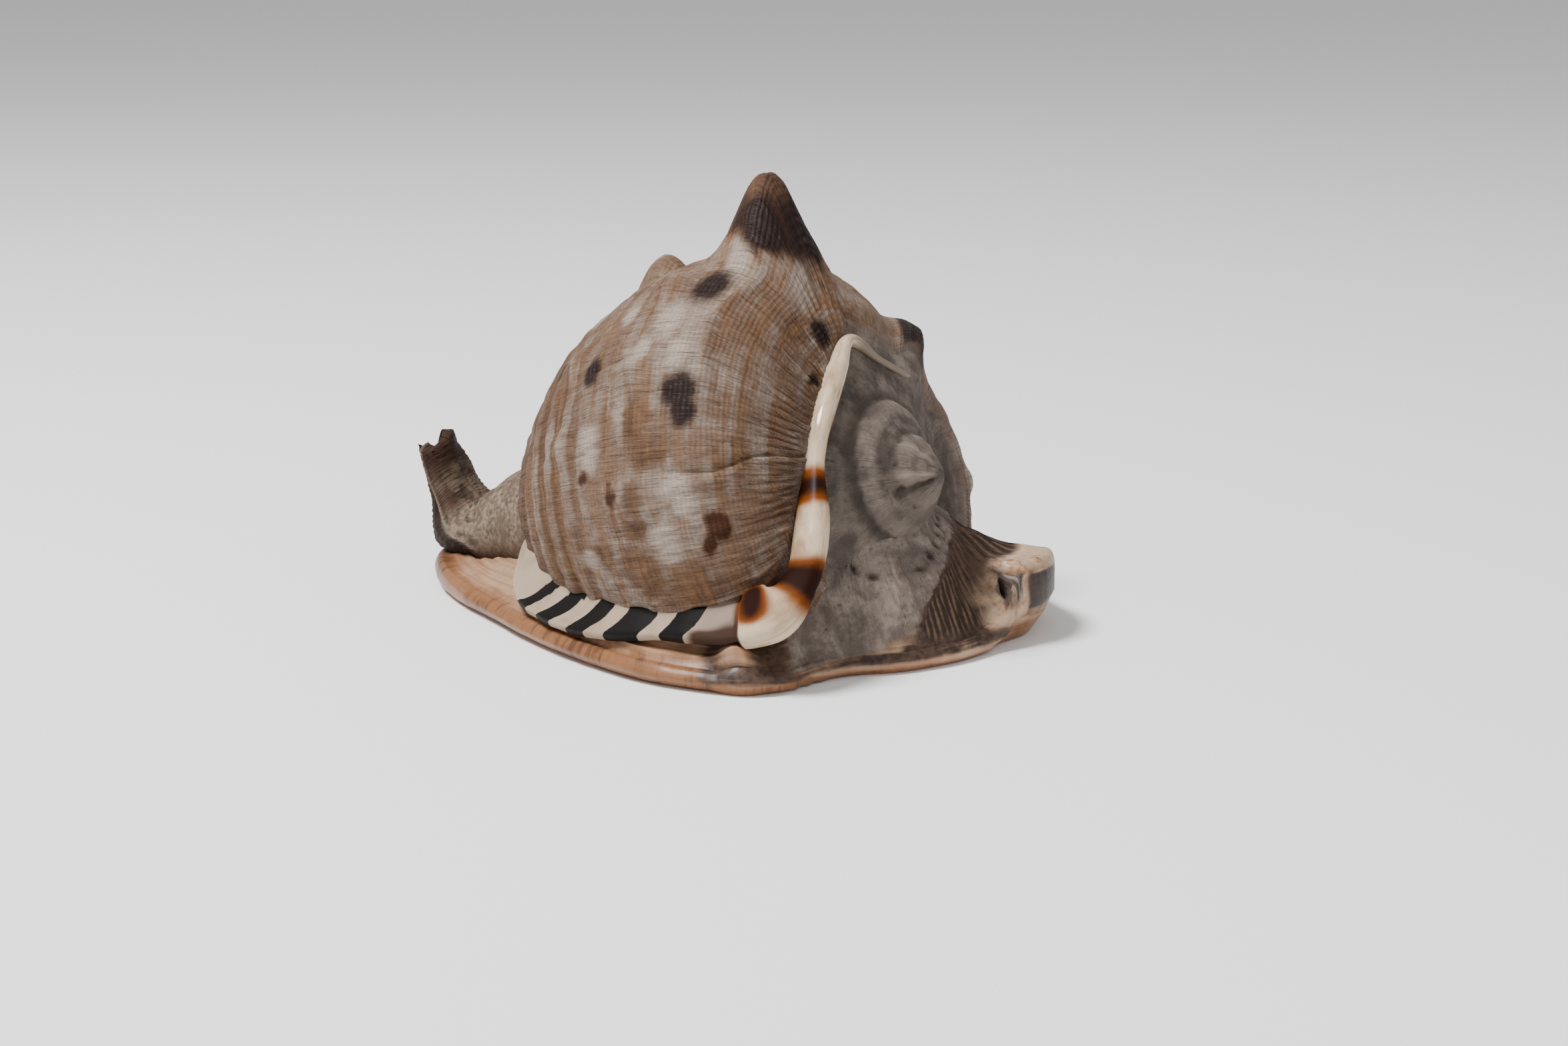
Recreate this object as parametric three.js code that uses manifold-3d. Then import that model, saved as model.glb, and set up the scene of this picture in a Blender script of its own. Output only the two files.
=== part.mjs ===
import * as THREE from 'three';
import { ParametricGeometry } from 'three/addons/geometries/ParametricGeometry.js';
import { mergeVertices } from 'three/addons/utils/BufferGeometryUtils.js';
import Module from 'manifold-3d';

const wasm = await Module();
wasm.setup();
const { smoothstep, degToRad, clamp } = THREE.MathUtils;

// The shell lies on its mouth: +X is the spire end, -X the siphon canal, -Y the shield, +Z up.
const axisRise = 12;                          // degrees the coil axis climbs towards the spire
const apex = new THREE.Vector3(62, -8, 43);
const whorlRatio = 2.2;                       // size of a whorl against the one inside it
const lastSuture = 31;                        // radius of the outermost suture above the axis
const underside = 4;                          // height the whorls flatten out at over the base
const sutureDepth = 1.9;
const backLift = 6;                           // how far the last quarter turn climbs the spire

// Outline of the last whorl and spire: distance forward from the apex, radius.
const profile = [
  [0, 0], [3, 5], [9, 12], [15, 20], [20, 28], [23, 38], [27, 48], [34, 55.5], [45, 58], [57, 57.5],
  [72, 53], [86, 45], [97, 34], [106, 25], [116, 15], [124, 0],
];
// Growth of the whorl round the axis: degrees from underneath, over the near side, share of full size.
const growth = [
  [-30, 0.78], [0, 0.82], [60, 0.9], [90, 0.93], [120, 0.96], [150, 0.985], [180, 0.995],
  [210, 0.955], [240, 0.96], [270, 1.02], [300, 1.1], [330, 1.2],
];
// Horns and knobs: degrees round, distance from the apex, spread, height, lean to the spire.
const horns = [
  [182, 35, 20, 19.8, 0.06], [236, 27, 13, 9, 0], [280, 27, 8, 4, 0], [194, 78, 13, 12.5, 0],
  [158, 50, 8, 2.5, 0], [130, 50, 8, 2.5, 0], [100, 50, 8, 2.5, 0], [140, 74, 7, 2, 0], [115, 74, 7, 2, 0],
];
// Plan outline of the shield and outer lip.
const baseOutline = [
  [-86, -10], [-75, -23], [-60, -34], [-45, -42], [-28, -51], [-12, -58], [2, -62.5], [16, -65.5],
  [30, -65], [42, -62], [49, -55], [51, -45], [55, -36], [63, -27], [70, -13], [73, 0], [75.5, 9],
  [76.5, 19], [73, 29], [67, 38], [59, 46], [48, 53], [33, 59], [10, 61], [-20, 57], [-45, 47],
  [-64, 34], [-79, 17], [-88, 2],
];
// Section of the base: degrees round its middle, rim height, rim roll, heights at 0.85, 0.7 and 0.5 out.
const baseSection = [
  [-180, 7, 4, 7, 10, 14], [-150, 6, 4, 8, 12, 18], [-120, 5.5, 4, 8.5, 14, 18], [-75, 5.5, 4, 9.5, 15, 19],
  [-55, 5, 4, 10, 20, 28], [-36, 4.5, 3, 17, 29, 36], [-20, 4.5, 3, 20, 33, 42], [-5, 5, 3, 20, 33, 44],
  [3, 7, 4, 18, 31, 44],
  [9, 20, 9, 20, 30, 44], [24, 19, 9, 20, 30, 44], [36, 14, 8, 18, 28, 40], [70, 13, 7, 16, 24, 38],
  [110, 12, 7, 13, 18, 30], [140, 9, 6, 9, 12, 20], [165, 7, 5, 7, 10, 14], [180, 7, 4, 7, 10, 14],
];
const baseMiddle = new THREE.Vector2(0, -2);
const baseCore = 40;                          // height the base reaches inside the whorls
// Old lip left standing from a resting stage: x, y, z, half height, half thickness.
const oldLip = [
  [36, 20, 61, 1.5, 1.5], [35.5, 6, 67.5, 2, 2], [35.5, -7, 71, 3, 3], [38, -19, 62, 3.4, 3], [40, -27, 54, 3.6, 3], [42.5, -33, 45, 3.6, 3],
  [46, -39, 35, 4, 3.4], [48, -46, 25, 4.6, 3.6], [45.5, -52, 16.5, 6.5, 5], [36, -55, 13, 8, 4.5],
  [20, -55, 12, 8.5, 3.5], [5, -53.5, 12, 9, 3.5], [-7, -50, 12, 9.5, 3.5], [-18, -45, 12.5, 10, 4],
  [-28, -39, 13.5, 10.5, 4], [-36, -33, 16, 9.5, 4],
];
// Upturned siphon canal: x, y, z, half thickness, half width.
const canal = [
  [-28, -6, 32, 29, 28], [-45, -5, 24, 21.5, 22], [-58, -4, 18.5, 16.5, 17], [-68, -4, 14.5, 12.5, 14],
  [-76.5, -4, 14.5, 9.5, 12], [-82, -4, 20, 7.6, 10.5], [-85, -5, 27.5, 6.4, 9.5], [-87, -6, 34.5, 5.8, 8.5],
];
const canalGroove = [
  [-78, -3, 4, 4, 3.4], [-85, -3.5, 9, 4.5, 4], [-89.5, -4.5, 18, 5, 5], [-91, -5.5, 28, 4.5, 5],
  [-92.5, -6, 40, 4.5, 5],
];
const backNotch = [
  [78, 2, 27, 4, 3], [74.5, 6, 18, 4, 3], [69, 8.5, 11, 4, 3.2], [60, 11, 7, 4, 3],
];
// Mouth slot seen from below: x, y, half width, height of the hollow above it.
const mouth = [
  [-94, -3, 2, 9], [-80, -3, 2.6, 11], [-60, -3, 3.6, 16], [-30, 0, 5.5, 28], [0, 3, 6.5, 38],
  [30, 7, 6, 36], [52, 11, 4.6, 22], [65, 14.5, 3, 13],
];
const lipTeeth = 6;
const toothDepth = 2.2;

const rise = degToRad(axisRise);
const forward = new THREE.Vector3(-Math.cos(rise), 0, -Math.sin(rise));
const crown = new THREE.Vector3(-Math.sin(rise), 0, Math.cos(rise));
const far = new THREE.Vector3(0, 1, 0);

function reader(rows) {
  const stops = rows.map((row) => row[0]);
  const values = rows.flatMap((row) => row.slice(1));
  const curve = new THREE.CubicInterpolant(stops, values, rows[0].length - 1);
  return (x) => Array.from(curve.evaluate(clamp(x, stops[0], stops.at(-1))));
}

function curveThrough(points, closed) {
  const stops = points.map(([x, y, z = 0]) => new THREE.Vector3(x, y, z));
  return new THREE.CatmullRomCurve3(stops, closed, 'centripetal');
}

const growthAt = reader(growth);
const profileCurve = curveThrough(profile);
const spireShare = 0.28;                      // share of the profile's length that is spire
const spireRows = 0.5;                        // share of the rows given to it

function outward(degrees) {
  const turn = degToRad(degrees);
  return crown.clone().multiplyScalar(-Math.cos(turn)).addScaledVector(far, -Math.sin(turn));
}

function spireRelief(radius, degrees) {
  const phase = Math.log(Math.max(radius, 0.4) / lastSuture) / Math.log(whorlRatio) - (degrees - 180) / 360;
  const depth = Math.min(radius * 0.1, sutureDepth);
  if (phase >= 0.3 || radius > 48) return 0;
  if (phase >= 0) return -depth * (1 - phase / 0.3);
  const along = phase - Math.floor(phase);
  const ramp = reliefAt(along)[0];
  return depth * ramp;
}

// Height of the whorl face between two sutures: groove, ramp, shoulder ridge, groove.
const reliefAt = reader([[0, -1], [0.06, -0.55], [0.35, -0.35], [0.62, 0.25], [0.8, 0.75], [0.93, 0.2], [1, -1]]);

function whorlPoint(u, v, target) {
  const degrees = (u % 1) * 360 - 30;
  const share = v < spireRows ? (v / spireRows) * spireShare
    : spireShare + ((v - spireRows) / (1 - spireRows)) * (1 - spireShare);
  const { x: along, y: radius } = profileCurve.getPointAt(share);
  const seam = smoothstep(degrees, 300, 330);
  const grown = growthAt(degrees)[0] * (1 - seam) + growth[0][1] * seam;
  const held = along < 30 ? smoothstep(radius, 18, 45) : 1 - smoothstep(along, 70, 115);
  const wide = radius * (1 + (grown - 1) * held);
  let ahead = along * (1 + (grown - 1) * held * 0.6);
  ahead -= spireRelief(wide, degrees);
  ahead -= backLift * smoothstep(degrees, 230, 285) * (1 - seam) * smoothstep(wide, 34, 44) * (1 - smoothstep(ahead, 35, 75));
  target.copy(apex).addScaledVector(forward, ahead).addScaledVector(outward(degrees), wide);
  for (const [place, at, spread, height, lean] of horns) {
    const size = growthAt(place)[0];
    let gap = ahead - at * (1 + (size - 1) * 0.6);
    if (height > 15 && gap < 0) gap *= 1.25;
    const round = degToRad(degrees - place) * 57 * size;
    const reach = clamp(Math.hypot(round, gap) / spread, 0, 1);
    const lift = height * (0.5 + 0.5 * Math.cos(reach * Math.PI)) ** (height > 15 ? 1.3 : 1);
    target.addScaledVector(outward(place), lift).addScaledVector(forward, -lean * lift);
  }
  const above = target.z - underside;
  target.z = underside + (above > 20 ? above : 1.5 * Math.log1p(Math.exp(Math.max(above, -60) / 1.5)));
}

const baseCurve = curveThrough(baseOutline.map(([x, y]) => [x, y, 0]), true);
const sectionAt = reader(baseSection);
const rimTurns = [90, 45, 0, -45, -90];
const baseRows = 4 + rimTurns.length + 1;

function basePoint(u, v, target) {
  const edge = baseCurve.getPointAt(1 - (u % 1));
  const x = edge.x - baseMiddle.x;
  const y = edge.y - baseMiddle.y;
  const [rim, roll, outer, middle, inner] = sectionAt(THREE.MathUtils.radToDeg(Math.atan2(y, x)));
  const reach = Math.hypot(x, y);
  const crest = 1 - roll / reach;
  const rows = [[0, baseCore], [0.5, inner], [0.7, middle], [0.85, outer], [crest - 0.03, rim + 0.3 * (outer - rim)]];
  for (const turn of rimTurns) {
    const bend = degToRad(turn);
    rows.push([1 - (roll / reach) * (1 - Math.cos(bend)), (rim / 2) * (1 + Math.sin(bend))]);
  }
  rows.push([0, 0]);
  const [share, height] = rows[Math.round(v * baseRows)];
  target.set(baseMiddle.x + x * share, baseMiddle.y + y * share, height);
}

// Closed tube along a row of stations, its ends rounded off; `up` says which way its height points.
function tube(stations, up, roundness, slices, stacks) {
  const curve = curveThrough(stations);
  const sizes = curveThrough(stations.map(([, , , high, wide]) => [high, wide, 0]));
  const length = curve.getLength();
  return new ParametricGeometry((u, v, target) => {
    const share = clamp(v, 0.0001, 0.9999);
    const knot = curve.getUtoTmapping(share);
    const here = curve.getPoint(knot);
    const along = curve.getTangent(knot);
    const size = sizes.getPoint(knot);
    const lift = up(here, along);
    const high = lift.addScaledVector(along, -lift.dot(along)).normalize();
    const wide = along.clone().cross(high);
    const end = Math.min(v, 1 - v) * length / roundness;
    const close = Math.sqrt(Math.max(0, 1 - (1 - clamp(end, 0, 1)) ** 2));
    const turn = (u % 1) * 2 * Math.PI;
    target.copy(here).addScaledVector(high, close * size.x * Math.cos(turn))
      .addScaledVector(wide, close * size.y * Math.sin(turn));
  }, slices, stacks);
}

const mouthCurve = curveThrough(mouth);
const mouthSize = curveThrough(mouth.map(([, , half, high]) => [half, high, 0]));
// Half section of the hollow: share of the half width, share of the height.
const hollow = [[0, -0.1], [1, -0.1], [1, 0.12], [1.15, 0.3], [2, 0.6], [1.6, 0.88], [0, 1]];
const hollowLoop = [...hollow, ...hollow.slice(1, -1).reverse().map(([w, h]) => [-w, h])];

function mouthPoint(u, v, target) {
  const inside = clamp(v, 0.001, 0.999);
  const knot = mouthCurve.getUtoTmapping(inside);
  const here = mouthCurve.getPoint(knot);
  const along = mouthCurve.getTangent(knot);
  const size = mouthSize.getPoint(knot);
  const [wide, high] = v > 0 && v < 1 ? hollowLoop[Math.round(u * hollowLoop.length) % hollowLoop.length] : [0, 0.2];
  const tooth = Math.max(0, Math.cos((inside - 0.5) * Math.PI * 2 * lipTeeth * 1.4)) * smoothstep(inside, 0.2, 0.3)
    * (1 - smoothstep(inside, 0.8, 0.9));
  const onLip = wide > 0 && high < 0.15 ? tooth * toothDepth : 0;
  const side = wide * size.x - onLip;
  target.set(here.x - along.y * side, here.y + along.x * side, high * size.y - (high < 0 ? 1 : 0));
}

function solid(geometry) {
  geometry.deleteAttribute('normal');
  geometry.deleteAttribute('uv');
  const welded = mergeVertices(geometry, 1e-4);
  const corners = welded.index.array;
  const kept = [];
  for (let i = 0; i < corners.length; i += 3) {
    const [a, b, c] = corners.slice(i, i + 3);
    if (a !== b && b !== c && c !== a) kept.push(a, b, c);
  }
  const mesh = new wasm.Mesh({
    numProp: 3,
    vertProperties: new Float32Array(welded.attributes.position.array),
    triVerts: new Uint32Array(kept),
  });
  return new wasm.Manifold(mesh);
}

const whorls = solid(new ParametricGeometry(whorlPoint, 60, 48));
const base = solid(new ParametricGeometry(basePoint, 66, baseRows));
const bodyMiddle = new THREE.Vector3(0, -8, 40);
const fromBody = (point) => point.clone().sub(bodyMiddle);
const lip = solid(tube(oldLip, fromBody, 4, 10, 36));
const aboveRun = (point, along) => far.clone().cross(along);
const spout = solid(tube(canal, aboveRun, 1, 16, 16));
const spoutGroove = solid(tube(canalGroove, aboveRun, 2, 10, 10));
const notch = solid(tube(backNotch, aboveRun, 2, 10, 8));
const slot = solid(new ParametricGeometry(mouthPoint, hollowLoop.length, 40));

const body = whorls.add(base).add(lip).add(spout);
const carved = body.subtract(slot).subtract(spoutGroove).subtract(notch);
const { min, max } = carved.boundingBox();
const finished = carved.translate([-(min[0] + max[0]) / 2, -(min[1] + max[1]) / 2, -min[2]]).simplify(0.05);
const { vertProperties, triVerts } = finished.getMesh();

const shellGeometry = new THREE.BufferGeometry();
shellGeometry.setAttribute('position', new THREE.BufferAttribute(new Float32Array(vertProperties), 3));
shellGeometry.setIndex(new THREE.BufferAttribute(new Uint32Array(triVerts), 1));
shellGeometry.computeVertexNormals();
const porcelain = new THREE.MeshStandardMaterial({ color: 0xa38e7b, roughness: 0.5, metalness: 0 });
const shell = new THREE.Mesh(shellGeometry, porcelain);
shell.name = 'helmet_shell';

const part = new THREE.Group();
part.name = 'helmet_shell_part';
part.add(shell);
export default part;
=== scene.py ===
import math

import bmesh
import bpy
import numpy as np
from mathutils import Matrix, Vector
from mathutils.kdtree import KDTree


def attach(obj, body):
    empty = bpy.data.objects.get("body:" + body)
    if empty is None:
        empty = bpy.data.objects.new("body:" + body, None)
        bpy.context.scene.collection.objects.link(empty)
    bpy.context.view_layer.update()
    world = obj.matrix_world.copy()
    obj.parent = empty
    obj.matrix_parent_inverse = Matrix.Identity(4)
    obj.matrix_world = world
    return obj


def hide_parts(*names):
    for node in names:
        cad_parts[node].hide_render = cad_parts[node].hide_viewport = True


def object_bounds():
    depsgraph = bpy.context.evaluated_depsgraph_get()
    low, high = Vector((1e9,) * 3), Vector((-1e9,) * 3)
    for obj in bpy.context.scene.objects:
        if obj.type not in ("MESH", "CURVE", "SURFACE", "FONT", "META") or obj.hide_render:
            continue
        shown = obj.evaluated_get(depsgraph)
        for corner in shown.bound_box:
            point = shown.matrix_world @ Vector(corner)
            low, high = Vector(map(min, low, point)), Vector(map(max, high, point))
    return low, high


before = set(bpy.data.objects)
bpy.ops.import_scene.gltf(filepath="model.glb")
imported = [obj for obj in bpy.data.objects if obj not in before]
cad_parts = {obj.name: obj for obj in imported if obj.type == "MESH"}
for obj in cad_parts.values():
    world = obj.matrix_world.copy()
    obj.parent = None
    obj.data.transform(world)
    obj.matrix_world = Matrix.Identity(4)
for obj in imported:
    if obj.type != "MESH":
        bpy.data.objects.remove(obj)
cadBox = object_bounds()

print("frame loaded")

# Shapes are worked out in millimetres: spire towards +X, old lip towards -Y, shield at the bottom.
rowShift = np.array([7.167, 2.332, 0.0])      # brings them to the row's own middle


# numbers and curves

def smooth(low, high, value):
    t = np.clip((value - low) / (high - low), 0.0, 1.0)
    return t * t * (3.0 - 2.0 * t)


def window(value, start, full, fall, end):      # 0, then 1 from full to fall, then 0 again
    return smooth(start, full, value) * (1 - smooth(fall, end, value))


def mound(away, half):
    return np.exp(-(away / half) ** 2)


def together(*values):      # numbers of one grid, side by side
    return np.stack(values, axis=-1)


def readTable(rows, value):      # a curve with no overshoot through rows of place, value, value ...
    table = np.array(rows, float)
    place, level = table[:, 0], table[:, 1:]
    step = np.diff(place)[:, None]
    slope = np.diff(level, axis=0) / step
    bend = np.zeros_like(level)
    bend[0], bend[-1] = slope[0], slope[-1]
    heavy, light = 2 * step[1:] + step[:-1], step[1:] + 2 * step[:-1]
    rising = slope[:-1] * slope[1:] > 0
    safe = np.where(rising, slope[:-1], 1.0), np.where(rising, slope[1:], 1.0)
    bend[1:-1] = np.where(rising, (heavy + light) / (heavy / safe[0] + light / safe[1]), 0.0)
    value = np.clip(np.asarray(value, float), place[0], place[-1])
    k = np.clip(np.searchsorted(place, value, side="right") - 1, 0, len(place) - 2)
    t = ((value - place[k]) / step[k, 0])[..., None]
    rise = step[k]
    found = (1 + 2 * t) * (1 - t) ** 2 * level[k] + t * t * (3 - 2 * t) * level[k + 1]
    found = found + t * (1 - t) ** 2 * rise * bend[k] + t * t * (t - 1) * rise * bend[k + 1]
    return found[..., 0] if found.shape[-1] == 1 else found


def smoothPath(stations, closed=False, axes=3, fine=30):      # even curve through stations, many points
    stops = np.array(stations, float)
    if closed:
        stops = np.vstack([stops[-1:], stops, stops[:2]])
    else:
        stops = np.vstack([2 * stops[0] - stops[1], stops, 2 * stops[-1] - stops[-2]])
    t = np.linspace(0, 1, fine, endpoint=False)[:, None]
    found = []
    for a, b, c, d in zip(stops, stops[1:], stops[2:], stops[3:]):
        gapA, gapB, gapC = (max(np.linalg.norm(gap[:axes]), 1e-6) ** 0.5 for gap in (b - a, c - b, d - c))
        leave = ((b - a) / gapA - (c - a) / (gapA + gapB) + (c - b) / gapB) * gapB
        arrive = ((c - b) / gapB - (d - b) / (gapB + gapC) + (d - c) / gapC) * gapB
        found.append((1 + 2 * t) * (1 - t) ** 2 * b + t * (1 - t) ** 2 * leave
                     + t * t * (3 - 2 * t) * c + t * t * (t - 1) * arrive)
    return np.vstack(found + [stops[1:2] if closed else stops[-2:-1]])


def alongPath(path, share, axes=3):      # rows of a path at shares of its length
    run = np.r_[0, np.cumsum(np.linalg.norm(np.diff(path[:, :axes], axis=0), axis=1))]
    return np.stack([np.interp(share * run[-1], run, column) for column in path.T], axis=-1), run[-1]


def lumps(place, size, seed):      # smooth random hills from -1 to 1, about one size across
    lattice = np.random.default_rng(seed).uniform(-1, 1, (32, 32, 32))
    cell = place / size
    low = np.floor(cell).astype(int)
    part = cell - low
    part = part * part * (3 - 2 * part)
    total = 0
    for corner in np.ndindex(2, 2, 2):
        weight = np.prod(np.where(np.array(corner), part, 1 - part), axis=-1)
        at = (low + corner) % 32
        total = total + weight * lattice[at[..., 0], at[..., 1], at[..., 2]]
    return total


def outwardOf(points):      # unit normals of a closed grid, rows by columns
    across = np.roll(points, -1, axis=1) - np.roll(points, 1, axis=1)
    down = np.gradient(points, axis=0)
    facing = np.cross(across, down)
    return facing / np.maximum(np.linalg.norm(facing, axis=-1, keepdims=True), 1e-9)


# whorls and spire

coil = {
    "axisRise": 12,
    "apex": (62, -8, 43),
    "whorlRatio": 1.85,
    "lastSuture": 34.5,
    "underside": 4,
    "sutureDepth": 0.95,
    "backLift": 6,
    "columns": 390, "rows": 196, "tipRows": 62, "tipShare": 0.28,
    "profile": [[0, 0], [3, 5], [9, 12], [15, 20], [20, 28], [23, 38], [27, 48], [34, 55.5], [45, 58],
                [57, 57.5], [72, 53], [86, 45], [97, 34], [104, 26], [110, 16], [115.5, 0]],
    "growth": [[-30, 0.78], [0, 0.82], [60, 0.9], [90, 0.93], [120, 0.96], [150, 0.985], [180, 0.995],
               [210, 0.955], [240, 0.96], [270, 1.02], [300, 1.1], [330, 1.2]],
    "tall": 15,      # horns higher than this are pointed, with a steeper side to the spire
    # degrees round, distance from the apex, spread, height, lean to the spire
    "horns": [[182, 35, 20, 19.8, 0.06], [236, 27, 13, 9, 0], [280, 27, 8, 4, 0], [194, 78, 13, 12.5, 0],
              [158, 50, 8, 2.5, 0], [130, 50, 8, 2.5, 0], [100, 50, 8, 2.5, 0], [140, 74, 7, 2, 0],
              [115, 74, 7, 2, 0]],
    # height of the whorl face between two sutures
    "relief": [[0, -1], [0.15, -0.8], [0.4, -0.15], [0.62, 0.4], [0.82, 0.45], [0.93, 0], [1, -1]],
    # ridges of the worn tip: degrees round, half width, height
    "tipRidges": [[156, 12, 1.0], [97, 9, 0.9], [74, 12, -1.1], [20, 30, 0.4]],
    # degrees round and distance from the axis of the old lip, where the spire ends on the near side
    "lipAt": [[60, 46], [69, 40.7], [82, 31.3], [104, 25.7], [129, 24.4], [155, 26], [170, 29],
              [184, 31.5], [200, 36]],
}

rise = math.radians(coil["axisRise"])
forward = np.array([-math.cos(rise), 0, -math.sin(rise)])
crown = np.array([-math.sin(rise), 0, math.cos(rise)])
farSide = np.array([0, 1.0, 0])


def turned(degrees):
    turn = np.radians(degrees)[..., None]
    return -np.cos(turn) * crown - np.sin(turn) * farSide


def besideLip(radius, degrees):      # 1 on the body whorl's side of the old lip
    held = window(degrees, 54, 62, 184, 196)
    return held * smooth(-1.2, 1.2, radius - readTable(coil["lipAt"], degrees))


def spireRelief(radius, degrees):
    safe = np.maximum(radius, 0.4)
    phase = np.log(safe / coil["lastSuture"]) / math.log(coil["whorlRatio"]) - (degrees - 180) / 360
    depth = np.minimum(radius * 0.1, coil["sutureDepth"])
    inside = depth * readTable(coil["relief"], phase - np.floor(phase))
    edge = -depth * (1 - phase / 0.3)
    found = np.where(phase < 0, inside, np.where(phase < 0.3, edge, 0)) * (1 - besideLip(radius, degrees))
    return np.where(radius > 48, 0, found), phase


def whorlShape():
    ring = np.linspace(0, 1, 721)
    wanted = 1 + 0.5 * window(ring * 360 - 30, 20, 60, 190, 230)
    run = np.r_[0, np.cumsum((wanted[1:] + wanted[:-1]) / 2)]
    around = np.interp(np.linspace(0, 1, coil["columns"], endpoint=False), run / run[-1], ring) * 360 - 30
    tipRows, tipShare = coil["tipRows"], coil["tipShare"]
    share = np.r_[np.linspace(0, tipShare, tipRows, endpoint=False),
                  np.linspace(tipShare, 1, coil["rows"] - tipRows)]
    outline, profileRun = alongPath(smoothPath([[s, r, 0] for s, r in coil["profile"]]), share)
    along, degrees = np.meshgrid(outline[:, 0], around, indexing="ij")
    radius = np.repeat(outline[:, 1:2], len(around), axis=1)
    seam = smooth(300, 330, degrees)
    grown = readTable(coil["growth"], degrees) * (1 - seam) + coil["growth"][0][1] * seam
    held = np.where(along < 30, smooth(18, 45, radius), 1 - smooth(70, 115, along))
    wide = radius * (1 + (grown - 1) * held)
    ahead = along * (1 + (grown - 1) * held * 0.6)
    relief, phase = spireRelief(wide, degrees)
    ahead = ahead - relief * smooth(58, 50, along)
    lifted = smooth(230, 285, degrees) * (1 - seam) * smooth(34, 44, wide) * (1 - smooth(35, 75, ahead))
    ahead = ahead - coil["backLift"] * lifted
    points = np.array(coil["apex"], float) + forward * ahead[..., None] + turned(degrees) * wide[..., None]
    lift = np.zeros_like(ahead)
    for place, at, spread, height, lean in coil["horns"]:
        size = float(readTable(coil["growth"], place))
        gap = ahead - at * (1 + (size - 1) * 0.6)
        tall = height > coil["tall"]
        if tall:
            gap = np.where(gap < 0, gap * 1.25, gap)
        reach = np.clip(np.hypot(np.radians(degrees - place) * 57 * size, gap) / spread, 0, 1)
        raised = height * (0.5 + 0.5 * np.cos(reach * math.pi)) ** (1.3 if tall else 1)
        upward = turned(np.array(float(place)))
        points = points + upward * raised[..., None] - forward * (lean * raised)[..., None]
        if height > 5:
            lift = np.maximum(lift, raised / height)
    run = np.repeat(share[:, None] * profileRun, len(around), axis=1)
    return points, degrees, ahead, wide, phase, lift, run


def settle(points):      # the whorls flatten out over the base
    above = points[..., 2] - coil["underside"]
    soft = 1.5 * np.log1p(np.exp(np.clip(above / 1.5, -40, 40)))
    points[..., 2] = coil["underside"] + np.where(above > 20, above, soft)
    return points


def spot(degrees, run, marks):      # soft patches
    found = np.zeros_like(run)
    for place, at, reachRound, reachAlong in marks:
        away = np.hypot((degrees - place) / reachRound, (run - at) / reachAlong)
        found = np.maximum(found, 1 - smooth(0.2, 1.35, away))
    return found


# degrees round the whorl, distance from the tip along its profile, reach round, reach along
whorlMarks = {
    "blotches": [[156, 71, 8.5, 5.4], [124.5, 70, 6.5, 5.6], [119, 68.5, 5, 4], [134, 98, 5, 4],
                 [171, 43.5, 7, 4.4], [151, 37.5, 4, 1.8], [236, 58, 7, 7], [230, 94, 5, 4],
                 [262, 79, 6, 5]],
    "pale": [[145, 78, 8, 6], [135, 73, 6, 4.5], [136, 83, 7, 3.5], [116, 97, 5, 5], [111, 96, 5, 4],
             [102, 72, 4.5, 5.5], [97, 70, 4, 4], [88, 76, 7, 5], [163, 109, 8, 4], [166, 69, 5, 4],
             [193, 111, 4, 4], [150, 91, 6, 3], [163, 38, 4, 2.5], [225, 104, 8, 6], [84, 102, 4, 5]],
    "rust": [[89.5, 62.5, 5, 4], [85.5, 65, 4.5, 3], [105.5, 99, 3.4, 3], [141, 114, 4, 3],
             [100, 89, 3, 3]],
    "brown": [[163, 51, 7, 4], [112, 57, 10, 4], [150, 119, 16, 9], [120, 83, 9, 5], [112, 79, 6, 7],
              [100, 84, 7, 4], [128, 109, 14, 5], [92, 84, 5, 5], [80, 85, 9, 9], [76, 70, 8, 9],
              [84, 95, 7, 5], [182, 111, 5, 4], [215, 94, 20, 10], [240, 110, 18, 8], [70, 60, 9, 12]],
}

whorlFinish = {
    "cordStart": 64, "cordSpacing": 7.2, "cordHeight": 0.9,
    "keelAt": 32, "keelHeight": 0.9,
    "wrinkleDegrees": 3.1, "wrinkleHeight": 0.5,
    "creases": [[104, 14, 44, 0.9], [133, 38, 66, 0.6]],      # degrees, from, to, depth
    "lineHeight": 0.3,
}


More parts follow.
